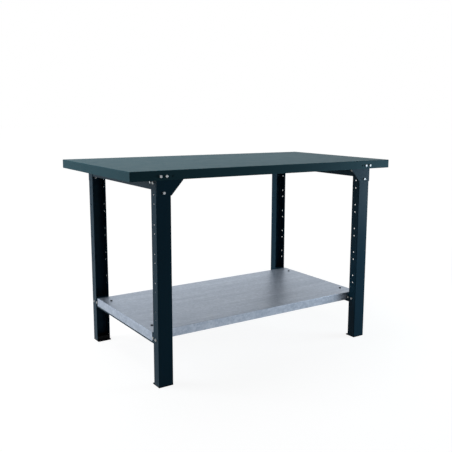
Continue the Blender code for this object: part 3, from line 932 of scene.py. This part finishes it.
def make_fasteners():
    tray_bolt = bolt_mesh(node_length("tray_bolt_front_left_outer", 1) - HEAD_THICKNESS)
    gusset_bolt = bolt_mesh(node_length("gusset_bolt_front_left", 1) - HEAD_THICKNESS)
    rail_bolt = bolt_mesh(node_length("upper_rail_bolt_front_left", 0) - HEAD_THICKNESS)
    nut = nut_mesh()
    screw_low, screw_high = spans_of("shelf_screw_front_left")[2]
    shelf_top = spans_of("shelf")[2][1]
    screw = screw_mesh(node_length("shelf_screw_front_left", 0) / 2, shelf_top - screw_low)
    screw_sunk = screw_high - shelf_top
    turns = 0
    for end, side in ENDS.items():
        for face, toward in FACES.items():
            corner = f"{face}_{end}"
            outward = (0, toward, 0)
            inward = (0, -toward, 0)
            for row in ("outer", "inner"):
                set_fastener(tray_bolt, f"tray_bolt_{corner}_{row}", outward, HEAD_THICKNESS, turns)
                turns += 1
            set_fastener(gusset_bolt, f"gusset_bolt_{corner}", outward, HEAD_THICKNESS, turns)
            set_fastener(nut, f"gusset_nut_{corner}", inward, NUT_THICKNESS, turns + 2)
            for level in LEVELS:
                turns += 1
                bolt_node = f"{level}_rail_bolt_{corner}"
                nut_node = f"{level}_rail_nut_{corner}"
                set_fastener(rail_bolt, bolt_node, (side, 0, 0), HEAD_THICKNESS, turns)
                set_fastener(nut, nut_node, (-side, 0, 0), NUT_THICKNESS, turns + 1)
            set_fastener(screw, f"shelf_screw_{corner}", (0, 0, 1), screw_sunk, turns, "dark_screw")


def make_second_rail_bolts():
    """The second bolt and nut at each end of a rail, which no node stands for."""
    nut = nut_mesh()
    for end, side in ENDS.items():
        for level in LEVELS:
            near, far = reach(spans_of(f"{level}_rail_{end}")[0])
            bolt = bolt_mesh(far - near + NUT_THICKNESS + BOLT_RADIUS)
            for face in FACES:
                corner = f"{face}_{end}"
                y = second_bolt_y(face, end)
                height = centre_of(f"{level}_rail_bolt_{corner}")[2]
                head_seat = (side * (far + GAP), y, height)
                nut_seat = (side * (near - GAP), y, height)
                head = stand(bolt, head_seat, (side, 0, 0), SECOND_BOLT_SPIN)
                add_piece(head, f"{level}_rail_second_bolt_{corner}", "zinc_fastener")
                held = stand(nut, nut_seat, (-side, 0, 0), SECOND_BOLT_SPIN)
                add_piece(held, f"{level}_rail_second_nut_{corner}", "zinc_fastener")


def make_bench():
    make_core()
    make_tray()
    make_shelf()
    for end, side in ENDS.items():
        for level in LEVELS:
            make_rail(level, end)
        for face, toward in FACES.items():
            make_leg(end, face, toward)
            make_gusset(end, side, face)
            make_foot(end, face, toward)
            finish(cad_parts[f"nut_plate_{face}_{end}"], "zinc_fastener")
    make_fasteners()
    make_second_rail_bolts()


# Studio


WHITE = (1.0, 1.0, 1.0, 1)

# The floor's own colour, and the white that is added to it, from near the bench to far from it
FLOOR_HALF = 40.0
FLOOR_COLOUR = (0.17, 0.17, 0.17, 1)
LIFT_NEAR = 0.90
LIFT_FAR = 1.0
FADE_START = 1.3
FADE_END = 3.2

# The even light on the object
SKY_COLOUR = (0.93, 0.97, 1.0, 1)
SKY_STRENGTH = 0.05


def background_ray(tree):
    """1 for rays that show the background: from the camera, mirrored, or seen through glass."""
    rays = tree.nodes.new("ShaderNodeLightPath")
    total = rays.outputs["Is Camera Ray"]
    for name in ("Is Glossy Ray", "Is Transmission Ray"):
        add = tree.nodes.new("ShaderNodeMath")
        add.operation = "MAXIMUM"
        tree.links.new(total, add.inputs[0])
        tree.links.new(rays.outputs[name], add.inputs[1])
        total = add.outputs["Value"]
    return total


def make_floor():
    """A pale floor that keeps the bench's soft shadow and fades to white away from it."""
    floor = as_object(cube(both(FLOOR_HALF), both(FLOOR_HALF), (-OVERRUN, 0)), "floor")
    shader = Shader("floor_white")
    tree = shader.tree
    tree.nodes.remove(shader.surface)
    paper = shader.add("ShaderNodeBsdfDiffuse")
    paper.inputs["Color"].default_value = FLOOR_COLOUR
    distance = shader.add("ShaderNodeVectorMath", operation="LENGTH")
    shader.link(shader.place, distance.inputs[0])
    fade = shader.spread(distance.outputs["Value"], FADE_START, FADE_END, LIFT_NEAR, LIFT_FAR)
    lift = shader.add("ShaderNodeEmission")
    shader.link(shader.product(background_ray(tree), fade), lift.inputs["Strength"])
    joined = shader.add("ShaderNodeAddShader")
    shader.link(paper.outputs["BSDF"], joined.inputs[0])
    shader.link(lift.outputs["Emission"], joined.inputs[1])
    shader.link(joined.outputs["Shader"], tree.nodes["Material Output"].inputs["Surface"])
    floor.data.materials.append(shader.material)


def make_world():
    """White where the background shows, and a dimmer even light on the object."""
    world = bpy.data.worlds.new("studio")
    bpy.context.scene.world = world
    world.use_nodes = True
    tree = world.node_tree
    plain = tree.nodes["Background"]
    plain.inputs["Color"].default_value = SKY_COLOUR
    plain.inputs["Strength"].default_value = SKY_STRENGTH
    white = tree.nodes.new("ShaderNodeBackground")
    white.inputs["Color"].default_value = WHITE
    white.inputs["Strength"].default_value = 1.0
    choose = tree.nodes.new("ShaderNodeMixShader")
    tree.links.new(background_ray(tree), choose.inputs["Fac"])
    tree.links.new(plain.outputs["Background"], choose.inputs[1])
    tree.links.new(white.outputs["Background"], choose.inputs[2])
    tree.links.new(choose.outputs["Shader"], tree.nodes["World Output"].inputs["Surface"])


def add_light(name, place, aim, size, power, colour):
    """A rectangular lamp at a place, turned to its aim, that doesn't show itself to the camera."""
    data = bpy.data.lights.new(name, "AREA")
    data.shape = "RECTANGLE"
    data.size, data.size_y = size
    data.energy = power
    data.color = colour
    light = bpy.data.objects.new(name, data)
    light.location = place
    light.rotation_mode = "QUATERNION"
    light.rotation_quaternion = (Vector(aim) - Vector(place)).to_track_quat("-Z", "Y")
    light.visible_camera = False
    bpy.context.scene.collection.objects.link(light)


def make_lights():
    """One lamp for the left end, one for what faces up, and a small cool one for the front's right half."""
    add_light(
        "key_left",
        place=(-3.0, 1.4, 1.4),
        aim=(-0.2, 0, 0.5),
        size=(1.8, 1.8),
        power=60,
        colour=(0.88, 0.95, 1.0),
    )
    add_light(
        "top",
        place=(-0.6, 0.8, 3.2),
        aim=(0, 0, 0.6),
        size=(2.4, 1.6),
        power=58,
        colour=(1.0, 1.0, 1.0),
    )
    add_light(
        "front_right",
        place=(1.75, -1.0, 0.66),
        aim=(0.4, -0.4, 0.75),
        size=(0.9, 0.6),
        power=23,
        colour=(0.74, 0.90, 1.0),
    )


def make_camera():
    """The fitted camera, its lens shifted so that the middle ray falls where it does in the photograph."""
    data = bpy.data.cameras.new("camera")
    data.sensor_width = SENSOR_WIDTH
    data.lens = FOCAL_PX / IMAGE_SIZE_PX * SENSOR_WIDTH
    data.shift_x = 0.5 - MIDDLE_RAY_PX[0] / IMAGE_SIZE_PX
    data.shift_y = MIDDLE_RAY_PX[1] / IMAGE_SIZE_PX - 0.5
    camera = bpy.data.objects.new("camera", data)
    forward = Vector((
        math.sin(CAMERA_YAW) * math.cos(CAMERA_PITCH),
        math.cos(CAMERA_YAW) * math.cos(CAMERA_PITCH),
        -math.sin(CAMERA_PITCH),
    ))
    level = Vector((math.cos(CAMERA_YAW), -math.sin(CAMERA_YAW), 0))
    above = level.cross(forward)
    right = level * math.cos(CAMERA_ROLL) + above * math.sin(CAMERA_ROLL)
    up = right.cross(forward)
    axes = Matrix((right, up, -forward)).transposed().to_4x4()
    camera.matrix_world = Matrix.Translation(CAMERA_PLACE) @ axes
    bpy.context.scene.collection.objects.link(camera)
    bpy.context.scene.camera = camera


make_camera()
make_bench()
make_floor()
make_world()
make_lights()
bpy.context.scene.view_settings.view_transform = "Standard"
